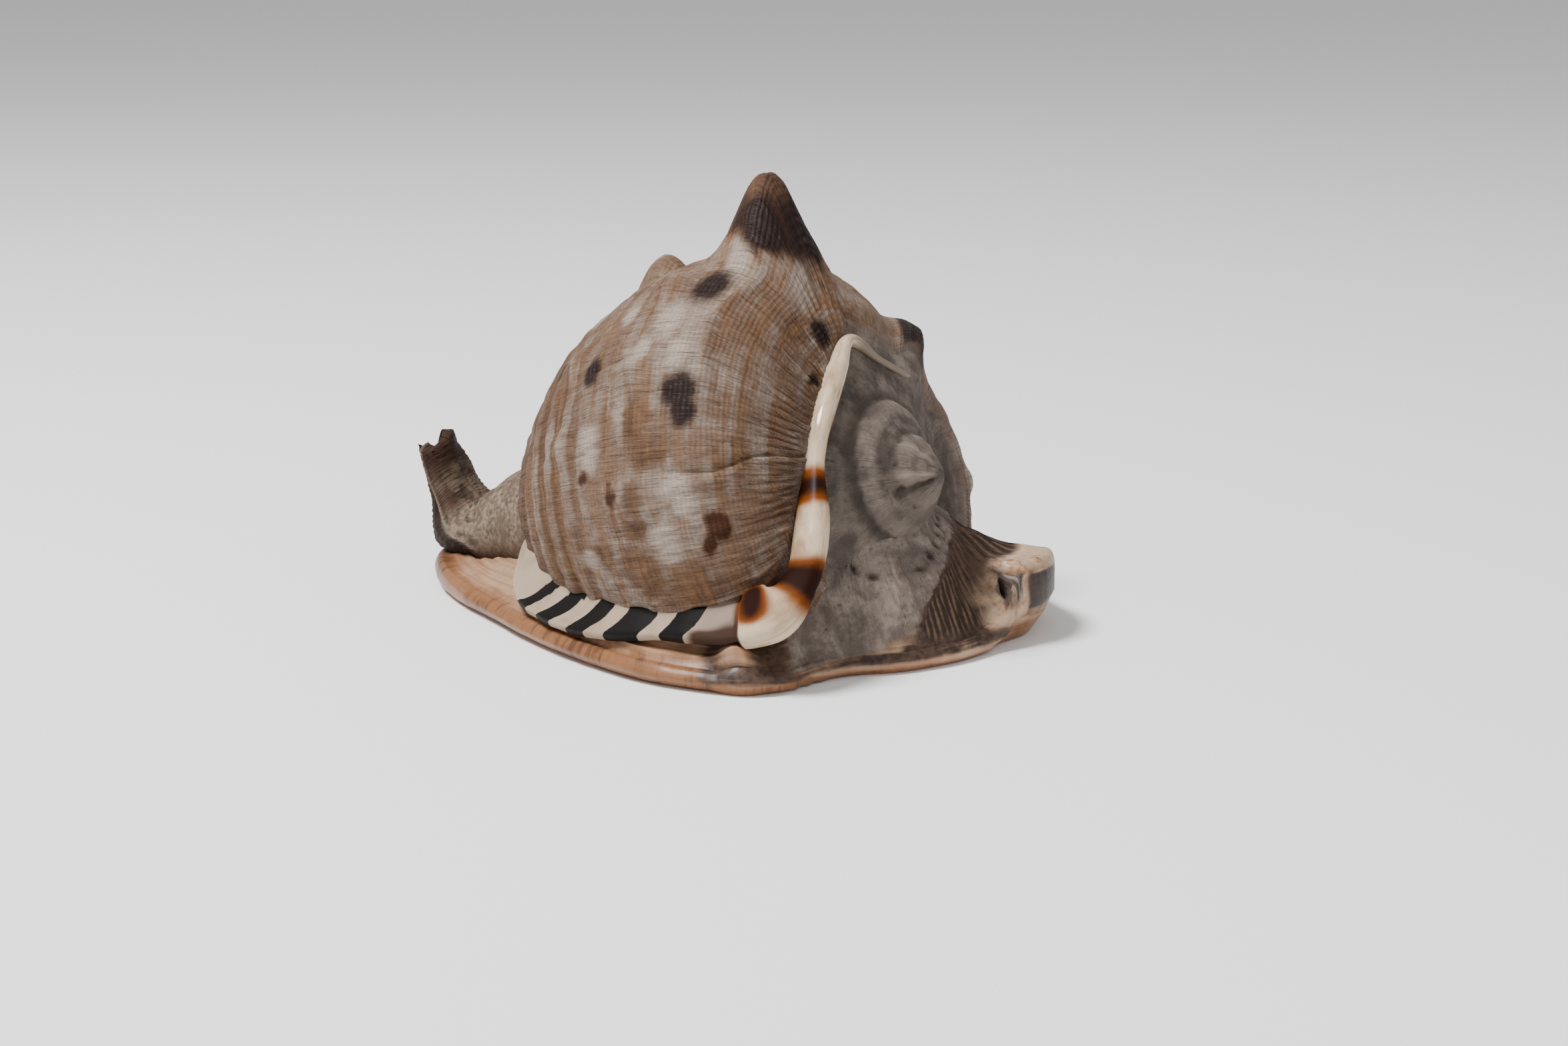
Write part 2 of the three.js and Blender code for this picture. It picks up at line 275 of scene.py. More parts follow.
def whorls():
    points, degrees, ahead, wide, phase, lift, run = whorlShape()
    finish = whorlFinish
    facing = outwardOf(points)
    wander = lumps(together(ahead / 14, degrees / 26, wide / 30), 1, 3)
    fine = lumps(together(ahead / 5, degrees / 2.6, wide / 9), 1, 5)
    near = window(degrees, 25, 60, 190, 230)
    outside = besideLip(wide, degrees)
    spire = (1 - smooth(0.0, 0.22, phase)) * (1 - outside) * smooth(52, 44, ahead)

    start = finish["cordStart"]
    lower = smooth(start - 8, start + 10, ahead) * (1 - smooth(150, 190, degrees))
    beat = (ahead - start + 1.2 * wander) / finish["cordSpacing"]
    cord = 0.5 + 0.5 * np.cos(2 * math.pi * beat)
    raised = finish["cordHeight"] * cord * lower * (0.35 + 0.65 * (1 - smooth(95, 150, degrees)))
    raised = raised * smooth(58, 76, degrees)

    fromLip = wide - readTable(coil["lipAt"], degrees)
    toLip = outside * (1 - smooth(4, 20, fromLip))
    uneven = degrees + 2.2 * wander + 1.4 * fine + 0.12 * ahead
    waves = np.sin(2 * math.pi * uneven / finish["wrinkleDegrees"])
    held = (0.3 + 1.2 * toLip * smooth(2.5, 5, fromLip)) * near * smooth(6, 18, wide)
    held = held * (1 - lower) * (1 - spire) * (1 - 0.8 * outside * smooth(3.5, 2, fromLip))
    raised = raised + finish["wrinkleHeight"] * waves * held

    keel = window(degrees, 112, 130, 164, 172)
    gap = ahead - finish["keelAt"] - 1.2 * np.sin(degrees / 7) - 0.5 * wander
    raised = raised + finish["keelHeight"] * keel * (mound(gap, 1.1) + 0.5 * window(gap, -1, 2, 4, 16))
    for place, start, end, depth in finish["creases"]:
        held = window(ahead, start, start + 6, end - 8, end)
        bow = place + 10 * smooth(30, 18, ahead) + 1.2 * wander
        raised = raised - depth * held * mound(degrees - bow, 0.8)
        raised = raised + 0.5 * depth * held * mound(degrees - bow + 2.2, 1.6)
    onHorn = np.clip(lift - 0.1, 0, 1)
    lines = fine * (1 + 1.6 * onHorn) * smooth(1, 8, wide) * (1 - 0.8 * spire)
    raised = raised + finish["lineHeight"] * lines
    rough = lumps(points, 3.4, 8) + 0.6 * lumps(points, 1.7, 9)
    turnsOnly = spire * smooth(0.0, -0.06, phase) * smooth(2, 9, wide)
    raised = raised + 0.35 * rough * turnsOnly + 0.35 * wander * smooth(10, 20, wide)
    worn = window(wide, 0.5, 3, 7, 12)
    ridges = sum(high * mound(degrees - place, half) for place, half, high in coil["tipRidges"])
    raised = raised + ridges * worn + 0.5 * (1 - smooth(0, 7, wide))
    points = settle(points + facing * raised[..., None])

    turnPart = phase - np.floor(phase)
    inner = smooth(-0.5, -0.62, phase)
    # painted shade: darker in the spire's suture grooves and the dips of the worn tip
    groove = turnsOnly * (0.7 * smooth(0.5, 0.0, turnPart) * inner * smooth(7, 11, wide)
                          + 0.8 * smooth(0.93, 1.0, turnPart)) + np.clip(-ridges, 0, 1) * worn * 0.6
    # the spire's ridges and worn tip are paler: partly their own cream, partly painted highlight
    crest = spire * np.maximum(0.45 * smooth(0.55, 0.75, turnPart) * inner * smooth(6, 9, wide),
                               worn * (0.45 + 0.5 * np.clip(ridges, 0, 1)))
    blotch = spot(degrees + 1.5 * fine, run + 0.8 * fine, whorlMarks["blotches"])
    ragged = lift + 0.06 * wander + 0.05 * fine
    ragged = ragged - 0.06 * smooth(34, 40, ahead) - 0.08 * smooth(34, 27, ahead)
    horn = smooth(0.1, 0.36, ragged) * (abs(degrees - 184) < 34) * smooth(58, 50, ahead)
    # the horn's own dark brown, with painted shade darkening its right side and a paler tip
    shade = horn * (1 - 0.55 * smooth(0.6, 0.92, lift))
    shade = shade * (0.55 + 0.45 * smooth(3, -3, ahead - 35.5 - 1.5 * wander) + 0.25 * fine)
    knobs = smooth(0.25, 0.6, lift) * window(degrees, 218, 224, 262, 270) * smooth(55, 45, ahead)
    # the horn's dark, partly painted shade, joins the blotches
    blotch = np.maximum(blotch, np.maximum(shade * 1.1, knobs))
    pale = spot(degrees + 2 * wander, run + 2 * wander, whorlMarks["pale"])
    pale = np.maximum(pale, 0.2 * lower * smooth(0.45, 0.8, cord) * (1 - smooth(112, 150, degrees)))
    pale = np.maximum(pale, 0.6 * keel * window(gap, 0.2, 1, 4, 10))
    rust = spot(degrees + 2 * fine, run + fine, whorlMarks["rust"])
    brown = spot(degrees + 5 * wander, run + 4 * wander, whorlMarks["brown"]) * (1 - 0.9 * pale)
    brown = np.maximum(brown, np.maximum(horn, 0.8 * knobs))
    brown = np.maximum(brown, 0.6 * toLip * (0.5 + 0.5 * waves) * smooth(70, 105, degrees))
    # darker brown towards the base: partly its own colour, partly painted shade on the lower body
    brown = np.maximum(brown, 0.75 * smooth(84, 100, ahead) * (1 - smooth(165, 200, degrees)))
    brown = np.maximum(brown, lower * smooth(0.8, 0.35, cord) * (1 - smooth(130, 165, degrees)))
    brown = np.maximum(brown, 0.35 * keel * smooth(0.5, -0.7, gap) * smooth(20, 26, ahead) * (1 - spire))
    # painted shade: the spire's grooves, and a painted shadow on the whorl where it meets the old lip
    deep = np.maximum(groove, outside * smooth(4.5, 1.5, fromLip) * 0.5)
    # painted shade: a darker band on the spire's outer turn, on the near side
    shadedBand = spire * window(phase, -1.25, -1.0, -0.5, -0.2) * smooth(8, 12, wide)
    crest = crest - 0.9 * shadedBand * window(degrees, 50, 90, 160, 200)
    tints = together(blotch * (1 - spire), rust, pale * (1 - spire))
    ages = together(brown, spire, deep)
    grain = together(run, degrees, crest)
    return points, grain, tints, ages


# base: the shield, its rolled rim and the older whorl that shows beyond the old lip

shield = {
    "middle": (0, -2),
    "core": 40,
    "columns": 400,
    "outline": [[-86, -10], [-75, -23], [-60, -34], [-45, -42], [-28, -51], [-12, -58], [2, -62.5],
                [16, -65.5], [30, -65], [42, -62], [49, -55], [51, -45], [55, -36], [63, -27], [70, -13],
                [73, 0], [75.5, 9], [76.5, 19], [73, 29], [67, 38], [59, 46], [48, 53], [33, 59],
                [10, 61], [-20, 57], [-45, 47], [-64, 34], [-79, 17], [-88, 2]],
    # degrees round the middle, rim height, rim roll, heights at 0.85, 0.7 and 0.5 of the way out
    "section": [[-180, 7, 4, 7, 10, 14], [-150, 6, 4, 8, 12, 18], [-120, 5.5, 4, 8.5, 14, 18],
                [-75, 5.5, 4, 9.5, 15, 19], [-55, 5, 4, 10, 20, 28], [-36, 4.5, 3, 17, 35, 42],
                [-20, 4.5, 3, 20, 41, 46], [-5, 5, 3, 20, 40, 47], [3, 7, 4, 18, 36, 46],
                [9, 20, 9, 20, 29, 43], [24, 19, 9, 19.5, 24, 34], [36, 14, 8, 15.5, 21, 32],
                [70, 13, 7, 16, 24, 38], [110, 12, 7, 13, 18, 30], [140, 9, 6, 9, 12, 20],
                [165, 7, 5, 7, 10, 14], [180, 7, 4, 7, 10, 14]],
    "rimRoll": 0.8,
    "striation": 0.3,
    "riblet": 0.4, "ribletSpacing": 1.9,
    "fold": [37.5, -57.5, 1.4, 3, 4.5],      # x, y, length for its width, half width, height
    "undercut": 4,
    "rimLayer": 0.5, "wrinkleSpacing": 4.6,
    # degrees round and height of the spire's last seam on the base
    "seam": [[-40, 32], [-30, 25.7], [-24.4, 21.6], [-18.8, 20.2], [-12.3, 20.2], [-4.2, 23.7], [4, 29],
             [12, 36]],
    # degrees round and share of the way out where the older whorl's grey ends
    "greyEnds": [[-60, 0.985], [-36, 0.98], [-16, 0.94], [-11, 0.9], [-1, 0.84], [8, 0.76], [16, 0.69],
                 [26, 0.6]],
}


def shieldShape():
    path = smoothPath(shield["outline"], closed=True, axes=2)
    edge, length = alongPath(path, np.linspace(1, 0, shield["columns"], endpoint=False), axes=2)
    middle = np.array(shield["middle"], float)
    away = edge[:, :2] - middle
    angle = np.degrees(np.arctan2(away[:, 1], away[:, 0]))
    rim, roll, outer, halfway, inner = readTable(shield["section"], angle).T
    roll = roll * shield["rimRoll"]
    box = window(angle, 0, 5, 28, 42)      # the raised corner has flatter faces
    roll = roll * (1 - 0.45 * box)
    reach = np.hypot(*away.T)
    crest = 1 - roll / reach
    core = np.full_like(rim, shield["core"])
    stops = [together(np.full_like(rim, share), height)
             for share, height in ((0, core), (0.5, inner), (0.7, halfway), (0.85, outer))]
    stops.append(together(crest - 0.03, rim + 0.3 * (outer - rim)))
    rows = []
    for low, high, count in zip(stops, stops[1:], (4, 8, 7, 8)):
        for step in range(count):
            t = step / count
            rows.append(low * (1 - t) + high * t)
    rows.append(stops[-1])
    chamfer = window(angle, -160, -140, -40, -20)      # the near rim is bevelled
    power = 1 - 0.55 * box + 0.4 * chamfer
    under = shield["undercut"] * box / reach
    for bend in np.radians(np.linspace(90, -90, 17)):
        out = max(math.cos(bend), 0) ** power
        up = math.copysign(1, bend) * abs(math.sin(bend)) ** power
        tucked = under * smooth(0.1, -1, up)
        rows.append(together(1 - roll / reach * (1 - out) - tucked, rim / 2 * (1 + up)))
    for share in (0.96, 0.9, 0.8, 0.6, 0.3, 0):
        rows.append(together((1 - roll / reach - under) * share, np.zeros_like(rim)))
    rows = np.array(rows)      # row, column, share and height
    for _ in range(3):      # eases the bends between the stops of the upper side
        rows[1:26] = (rows[:-2] + 2 * rows[1:-1] + rows[2:])[:25] / 4
    share, height = rows[..., 0], rows[..., 1]
    points = together(middle[0] + away[:, 0] * share, middle[1] + away[:, 1] * share, height)
    along = np.linspace(0, length, shield["columns"], endpoint=False)
    return points, np.broadcast_to(angle, share.shape), share, np.broadcast_to(along, share.shape), reach


def shieldPiece():
    points, angle, share, along, reach = shieldShape()
    facing = outwardOf(points)
    inward = (1 - share) * reach      # millimetres in from the edge
    wander = lumps(points, 13, 11)
    fine = lumps(points, 3.5, 12)
    up = points[..., 2]
    upper = up > 0.5
    corner = window(angle, 3, 8, 36, 46)
    past = share - readTable(shield["greyEnds"], angle) + 0.004 * wander
    foldX, foldY, longer, foldHalf, foldHeight = shield["fold"]
    fold = mound(np.hypot((points[..., 0] - foldX) / longer, points[..., 1] - foldY), foldHalf)
    older = smooth(-52, -42, angle + 2 * wander) * (1 - smooth(26, 34, angle)) * smooth(0.018, -0.018, past)
    # below -46 degrees the brown here is painted shadow under the lip's knob, round the pale fold
    ribbed = smooth(-66, -60, angle) * (1 - smooth(50, 84, angle + 8 * wander))
    ribbed = ribbed * np.maximum(smooth(-0.018, 0.018, past), smooth(-42, -50, angle)) * (1 - fold)
    ribbed = ribbed * smooth(1.5, 3.5, up) * (1 - 0.75 * corner * smooth(0.9, 0.94, share))
    plain = smooth(0.93, 0.97, share) * (1 - corner) + smooth(-40, -48, angle)      # brown without ribs; past -44 degrees it is painted shadow under the lip's knob
    top = 1 - smooth(0.9, 1.0, share)
    plate = (1 - smooth(-62, -50, angle)) + smooth(60, 80, angle)
    raised = shield["striation"] * np.sin(inward * 1.9 + 1.6 * wander) * smooth(2, 6, inward) * plate
    layers = window(angle, -110, -90, -60, -50) + 0.4 * plate
    layers = layers * np.sin(inward * 1.5 + wander)
    raised = raised + shield["rimLayer"] * layers * window(inward, 1.5, 3, 9, 14)
    slant = along + 0.12 * up + 0.5 * wander
    ribs = ribbed * smooth(0.01, 0.05, past) * (1 - np.minimum(plain, 1))
    riblets = ribs * np.sin(slant * 2 * math.pi / shield["ribletSpacing"])
    raised = raised + shield["riblet"] * riblets + foldHeight * fold
    wrinkle = np.sin((along + 2.2 * wander + 0.25 * up) * 2 * math.pi / shield["wrinkleSpacing"])
    seamGap = up - readTable(shield["seam"], angle) + 0.4 * wander
    seam = older * mound(seamGap, 0.8)
    raised = raised + older * (0.3 * wrinkle * smooth(1, -3, seamGap) + 0.4 * wander
                               + 0.7 * smooth(0.06, 0.0, -past))
    raised = raised - 0.9 * seam + 0.5 * older * mound(seamGap + 2.2, 1.5)
    raised = raised + 0.12 * fine + 0.35 * wander * top
    raised = raised + 0.3 * fine * ribbed
    hollowAt = window(along, 227, 228.5, 230, 232) * window(up, 9, 12, 16, 18)
    raised = raised - 0.9 * hollowAt * smooth(0.9, 0.96, share)
    points = points + facing * (raised * upper)[..., None]
    points[..., 2] = np.maximum(points[..., 2], 0)

    rim = np.maximum(smooth(0.88, 0.98, share) * upper, (up < 1.5) * smooth(0.75, 0.98, share))
    thin = smooth(-44, -36, angle) * (1 - corner)
    beyond = window(angle, -62, -52, 50, 70)      # only a thin orange edge under the spire
    low, high = 1.6 + 2.5 * corner - thin, 3.4 + 3 * corner - 1.4 * thin
    rim = rim * (1 - beyond * smooth(low, high, up + 0.6 * wander))
    onFace = corner * smooth(0.93, 0.96, share)
    channel = onFace * window(along, 227.9, 228.7, 231, 232) * window(up, 10, 12, 16.5, 18)
    slate = onFace * smooth(204, 214, along + 3 * wander) * (1 - smooth(226.4, 227.6, along)) * (
        smooth(6, 10.5, up + 1.5 * wander) * (1 - smooth(16.2, 17.8, up + 0.6 * fine)))
    cream = onFace * mound(along - 228, 0.7) * smooth(9, 12, up)
    # a pale diagonal ridge on the corner: cream, partly painted highlight
    cream = np.maximum(cream, mound(up - 8 + 0.25 * (along - 234), 1.6) * smooth(240, 236, along)
                       * smooth(224, 229, along) * smooth(0.9, 0.96, share))
    cream = np.maximum(cream, corner * smooth(17.8, 18.8, up) * smooth(0.87, 0.91, share))
    pitted = window(along, 230.5, 232, 236, 240) * smooth(9, 12, up) * smooth(0.87, 0.91, share)
    cream = np.maximum(cream, pitted * (0.6 + 0.5 * fine))
    tints = together(rim, older, ribbed * (1 - 0.8 * cream) * (1 - 0.45 * np.minimum(plain, 1)))
    ages = together(channel, np.maximum(slate, 0.75 * seam), cream * (1 - channel) * (1 - slate))
    return points, together(along, inward, up), tints, ages


# tubes: the old lip with its flange, the siphon canal, and what is cut from them

def tube(stations, aboveOf, roundness, columns, rows, flatness=0.0):
    path = smoothPath(stations)
    _, length = alongPath(path, np.array([0.0]))
    nose = min(0.25, roundness / length)
    curl = nose * (1 - np.cos(np.linspace(0, math.pi / 2, 7)))
    share = np.r_[curl, np.linspace(nose, 1 - nose, rows - 12)[1:-1], 1 - curl[::-1]]
    line, _ = alongPath(path, share)
    here = line[:, :3]
    along = np.gradient(here, axis=0)
    along = along / np.maximum(np.linalg.norm(along, axis=1, keepdims=True), 1e-9)
    along[0], along[-1] = along[1], along[-2]
    high = aboveOf(here, along)
    high = high - along * (high * along).sum(axis=1, keepdims=True)
    high = high / np.linalg.norm(high, axis=1, keepdims=True)
    wide = np.cross(along, high)
    end = np.clip(np.minimum(share, 1 - share) * length / roundness, 0, 1)
    close = np.sqrt(np.maximum(0, 1 - (1 - end) ** 2))
    turn = np.linspace(0, 2 * math.pi, columns, endpoint=False)
    flat = flatness * (0.4 + 0.6 * smooth(0.45, 0.6, share)[:, None])
    power = 1 - flat      # below 1 the section is squarer
    up = np.sign(np.cos(turn)) * np.abs(np.cos(turn)) ** power
    aside = np.sign(np.sin(turn)) * np.abs(np.sin(turn)) ** power
    aside = aside * (1 - 1.1 * flat * smooth(-0.2, 1, up))      # and thinner at its free edge
    points = (here[:, None] + high[:, None] * ((close * line[:, 3])[:, None] * up)[..., None]
              + wide[:, None] * ((close * line[:, 4])[:, None] * aside)[..., None])
    shape = points.shape[:2]
    return (points, np.broadcast_to((share * length)[:, None], shape), np.broadcast_to(turn, shape),
            np.broadcast_to(along[:, None], points.shape))


def fromBody(here, along):
    return here - np.array([0, -8, 40.0])


def aboveRun(here, along):
    return np.cross(farSide, along)


lip = {
    # x, y, z, half height, half thickness
    "line": [[37.5, 20, 59, 0.8, 0.9], [37, 6, 65.4, 0.9, 1], [35.5, -6, 71.6, 1.4, 1.2],
             [36.8, -13, 66.6, 2.3, 2], [38, -19, 61.6, 3, 2.6], [40, -27, 54, 3.4, 2.8],
             [42.5, -33, 45, 3.6, 3], [46, -39, 35, 4, 3.4], [48, -46, 25, 4.6, 3.6],
             [45.5, -52, 18, 6.2, 5], [36, -55, 14.8, 6.7, 4.5], [20, -55, 13.6, 6.8, 3.5],
             [5, -53.5, 12.4, 8.4, 3.5], [-7, -50, 12, 9.5, 3.5], [-18, -45, 12.5, 10, 4],
             [-28, -39, 13.5, 9.4, 4], [-32, -35, 17, 7, 3.5], [-34.5, -31.5, 23.5, 3.4, 2.8]],
    "roundness": 4, "flatness": 0.5, "around": 48, "rows": 260,
    # along the lip, degrees round it, half length, half width in degrees, strength of the dark middle
    "amber": [[71.5, 50, 5.2, 500, 0.75], [94.5, 350, 6, 420, 1], [107.4, 96, 4.8, 42, 1]],
    # millimetres along the lip, half width, lean
    "bars": [[123, 3.7, 3.8], [136, 4.9, 4.8], [148, 3, 5.8], [159, 3, 6.8], [169, 2.4, 7.6]],
    "flangeFrom": 110.8,
    "waist": [[20, 0.0], [48, 0.5], [66, -0.35], [84, 0.55], [97, -0.3], [105, 0.9], [110, 0.9],
              [111.8, -0.9], [114, -0.5], [124, 0.2]],
}


def lipPiece():
    points, run, turn, _ = tube(lip["line"], fromBody, lip["roundness"], lip["around"], lip["rows"],
                                lip["flatness"])
    facing = outwardOf(points)
    outer = np.cos(turn)      # 1 on the free edge, -1 against the whorl
    wander = lumps(points, 6, 21)
    start = lip["flangeFrom"]
    flange = smooth(start, start + 1.6, run)
    edge = run > start + 6
    raised = readTable(lip["waist"], run) * window(run, 20, 32, 124, 130) + 0.22 * wander
    for place, half, lean in lip["bars"]:
        raised = raised + 0.25 * edge * mound(run - place - lean * outer, half + 1)
    points = points + facing * raised[..., None]
    amber = np.zeros_like(run)
    dark = np.zeros_like(run)
    for place, around, half, reach, strength in lip["amber"]:
        aside = (np.degrees(turn) - around + 180) % 360 - 180
        away = np.hypot((run - place + 0.8 * wander) / half, aside / reach)
        amber = np.maximum(amber, 1 - smooth(0.4, 1.45, away))
        dark = np.maximum(dark, strength * (1 - smooth(0.0, 1.1, away)))
    bar = np.zeros_like(run)
    for place, half, lean in lip["bars"]:
        gap = run - place - lean * outer + 0.5 * wander
        bar = np.maximum(bar, 1 - smooth(0.8, 1.05, np.abs(gap) / half))
    tints = together(amber, dark, bar * edge)
    shade = flange * smooth(0.1, 0.7, outer + 0.2 * wander) * (1 - smooth(119, 125, run))
    shade = np.maximum(shade, mound(run - start - 0.8, 0.9))
    near = flange * (1 - smooth(118, 128, run))      # painted shade: taupe on the flange beside the spotted knob
    ages = together(np.maximum(0.6 * flange, near), shade, smooth(31, 23, run))
    return points, together(run, turn * 4, run * 0), tints, ages


spout = {
    # x, y, z, half height, half thickness
    "line": [[-28, -6, 20, 18, 20], [-44, -5, 18, 18, 18.5], [-57, -4, 15.5, 15, 15.5],
             [-67, -4, 12.5, 11.5, 13.5], [-76, -4, 12, 9, 11.5], [-82.7, -4, 18, 6.8, 9.5],
             [-86.5, -5, 26.5, 5, 8], [-88.7, -6, 35, 4.2, 6.5]],
    "lean": 0.7,
    "channel": [[-78, -3, 4, 4, 3.4], [-85, -3.5, 9, 4.5, 4], [-89.5, -4.5, 18, 5, 5],
                [-91, -5.5, 28, 4.5, 5], [-92.5, -6, 40, 4.5, 5]],
    "around": 110, "rows": 120,
    "ringSpacing": 1.9, "ringHeight": 0.14,
    "peaksAt": 33, "peakHeight": 1.5,
    "farWall": 4.2,
    # millimetres along, degrees round: the pale edge of the hollow on the near side
    "hollowEdge": [[38, 250], [42.7, 259], [45.5, 268], [51, 274], [56, 275], [62, 275], [66, 274],
                   [76, 270]],
}


def spoutPiece():
    points, run, turn, along = tube(spout["line"], aboveRun, 1, spout["around"], spout["rows"])
    facing = outwardOf(points)
    wander = lumps(points, 7, 31)
    fine = lumps(points, 2.2, 32)
    end = run.max()
    neck = smooth(30, 44, run)
    bend = smooth(46, 58, run)      # the rings fan out round it
    slant = run - spout["lean"] * (points[..., 0] + 82) * bend
    rings = np.sin(2 * math.pi * (slant + 0.8 * wander) / spout["ringSpacing"])
    ribs = np.cos(turn * 13 + 2 * wander)
    ribbed = 0.12 * ribs * smooth(end - 2, end - 12, run)
    raised = neck * (spout["ringHeight"] * rings + ribbed + 0.2 * fine)
    raised = raised + 0.7 * wander * neck
    points = points + facing * (raised * (1 - smooth(end - 1.5, end, run)))[..., None]
    past = np.degrees(turn) - readTable(spout["hollowEdge"], run) + 2 * wander
    # the hollow beside the pale edge: dark brown, with painted shade on its far wall
    hollow = smooth(38, 43, run) * smooth(-1, -7, past) * smooth(-95, -60, past)
    edge = smooth(38, 45, run) * mound(past, 2.6)
    points = points + facing * (0.5 * edge - 1.2 * hollow)[..., None]
    points[..., 0] = points[..., 0] - spout["farWall"] * hollow * smooth(21, 6, points[..., 2])
    jag = spout["peakHeight"] * (np.cos(2 * (turn - math.radians(spout["peaksAt"]))) + 0.45 * fine)
    points = points + along * (jag * smooth(end - 4, end - 0.5, run))[..., None]
    tip = smooth(end - 12, end - 1, run)
    pits = smooth(0.25, 0.6, lumps(points, 2.4, 33)) * window(run, 34, 42, 62, 70)
    fold = window(run, 16, 22, 50, 58)
    tints = together(np.maximum(tip, hollow), fold, pits * neck)
    ages = together(edge, ribs * 0.5 + 0.5, tip * (1 - hollow))
    return points, together(slant, turn * 8, points[..., 2]), tints, ages


mouth = {
    # x, y, half width, height of the hollow above it
    "line": [[-94, -3, 2, 9], [-80, -3, 2.6, 11], [-60, -3, 3.6, 16], [-30, 0, 5.5, 28], [0, 3, 6.5, 38],
             [30, 7, 6, 36], [52, 11, 4.6, 22], [65, 14.5, 3, 13]],
    "hollow": [[0, -0.1], [1, -0.1], [1, 0.12], [1.15, 0.3], [2, 0.6], [1.6, 0.88], [0, 1]],
    "around": 48, "rows": 260,
    "teeth": 6, "toothDepth": 2.2,
    "folds": 15, "foldDepth": 0.7,
    "notch": [[82, -1, 14.2, 3, 0.8], [73, 4.8, 14, 3, 0.85], [66, 8.6, 12, 3.4, 1.4],
              [58, 12, 8, 3.5, 2.4]],
}


def mouthPiece():
    half = mouth["hollow"]
    corners = np.array(half + [[-w, h] for w, h in half[-2:0:-1]])
    ring = np.linspace(0, len(corners), mouth["around"], endpoint=False)
    section = np.stack([np.interp(ring, np.arange(len(corners) + 1), np.r_[column, column[:1]])
                        for column in corners.T], axis=-1)
    share = np.linspace(0.001, 0.999, mouth["rows"])
    line, length = alongPath(smoothPath([[x, y, 0, w, h] for x, y, w, h in mouth["line"]]), share)
    along = np.gradient(line[:, :2], axis=0)
    along = along / np.linalg.norm(along, axis=1, keepdims=True)
    held = window(share, 0.2, 0.3, 0.8, 0.9)
    turn = (share - 0.5) * 2 * math.pi
    tooth = np.maximum(0, np.cos(turn * mouth["teeth"] * 1.4)) * held * mouth["toothDepth"]
    fold = (0.5 + 0.5 * np.cos(turn * mouth["folds"])) * held * mouth["foldDepth"]
    wide, high = section[:, 0], section[:, 1]
    low = 1 - smooth(0.1, 0.2, high)
    side = wide * line[:, 3:4] - tooth[:, None] * low * (wide > 0.5) + fold[:, None] * low * (wide < -0.5)
    top = high * line[:, 4:5] - (high < 0)
    points = together(line[:, :1] - along[:, 1:] * side, line[:, 1:2] + along[:, :1] * side, top)
    shape = side.shape
    dents = np.where(wide > 0, tooth[:, None] / mouth["toothDepth"], fold[:, None] / mouth["foldDepth"])
    tints = together(dents * np.ones(shape), np.broadcast_to(held[:, None], shape),
                      smooth(0, 8, points[..., 2]))
    grain = together(np.broadcast_to(share[:, None] * length, shape), points[..., 2], points[..., 1])
    return points, grain, tints, tints * 0


cuts = {"roundness": 2, "around": 40, "rows": 60, "lumpHeight": 0.3, "lumpSize": 2.5}


def cutPiece(stations, tints, ages):      # a rough round hollow with the same layers all over
    cut, run, turn, _ = tube(stations, aboveRun, cuts["roundness"], cuts["around"], cuts["rows"])
    raised = cuts["lumpHeight"] * lumps(cut, cuts["lumpSize"], 41)
    cut = cut + outwardOf(cut) * raised[..., None]
    tints, ages = (np.broadcast_to(np.array(layer, float), cut.shape) for layer in (tints, ages))
    return cut, together(run, turn * 4, cut[..., 2]), tints, ages


# grids to meshes, and the meshes joined and cut into one shell

def gridMesh(name, points, layers, material):      # closed round, with a point at each end
    rows, columns = points.shape[:2]

    def flat(grid):
        width = grid.shape[2]
        return np.vstack([grid[0].mean(axis=0), grid[1:-1].reshape(-1, width), grid[-1].mean(axis=0)])

    places = flat(points)
    count = len(places)
    inner = 1 + np.arange((rows - 2) * columns).reshape(rows - 2, columns)
    beside = np.roll(inner, -1, axis=1)
    faces = [[0, a, b] for a, b in zip(inner[0], beside[0])]
    faces += together(inner[:-1], inner[1:], beside[1:], beside[:-1]).reshape(-1, 4).tolist()
    faces += [[count - 1, b, a] for a, b in zip(inner[-1], beside[-1])]
    middle = places.mean(axis=0)
    quads = np.array(faces[columns:-columns])
    a, b, c, d = (places[quads[:, k]] - middle for k in range(4))
    if (a * (np.cross(b, c) + np.cross(c, d))).sum() < 0:
        faces = [face[::-1] for face in faces]
    mesh = bpy.data.meshes.new(name)
    mesh.from_pydata(((places + rowShift) / 1000).tolist(), [], faces)
    mesh.materials.append(material)
    for title, values in layers.items():
        held = mesh.attributes.new(title, "FLOAT_VECTOR", "POINT")
        held.data.foreach_set("vector", flat(values).astype(np.float32).ravel())
    return bpy.data.objects.new(name, mesh)


def vectors(mesh, title):
    held = np.empty(len(mesh.vertices) * 3, np.float32)
    mesh.attributes[title].data.foreach_get("vector", held)
    return held.reshape(-1, 3)


def carve(piece, others, operation):
    group = bpy.data.collections.new(operation.lower())
    for other in others:
        group.objects.link(other)
    work = piece.modifiers.new(operation.lower(), "BOOLEAN")
    work.operation = operation
    work.solver = "MANIFOLD"
    work.operand_type = "COLLECTION"
    work.collection = group
    work.material_mode = "TRANSFER"
    return group


# shader sums

def tone(red, green, blue):      # a colour as it is seen, 0 to 255
    seen = (red / 255, green / 255, blue / 255)
    return tuple(c / 12.92 if c < 0.04045 else ((c + 0.055) / 1.055) ** 2.4 for c in seen) + (1.0,)


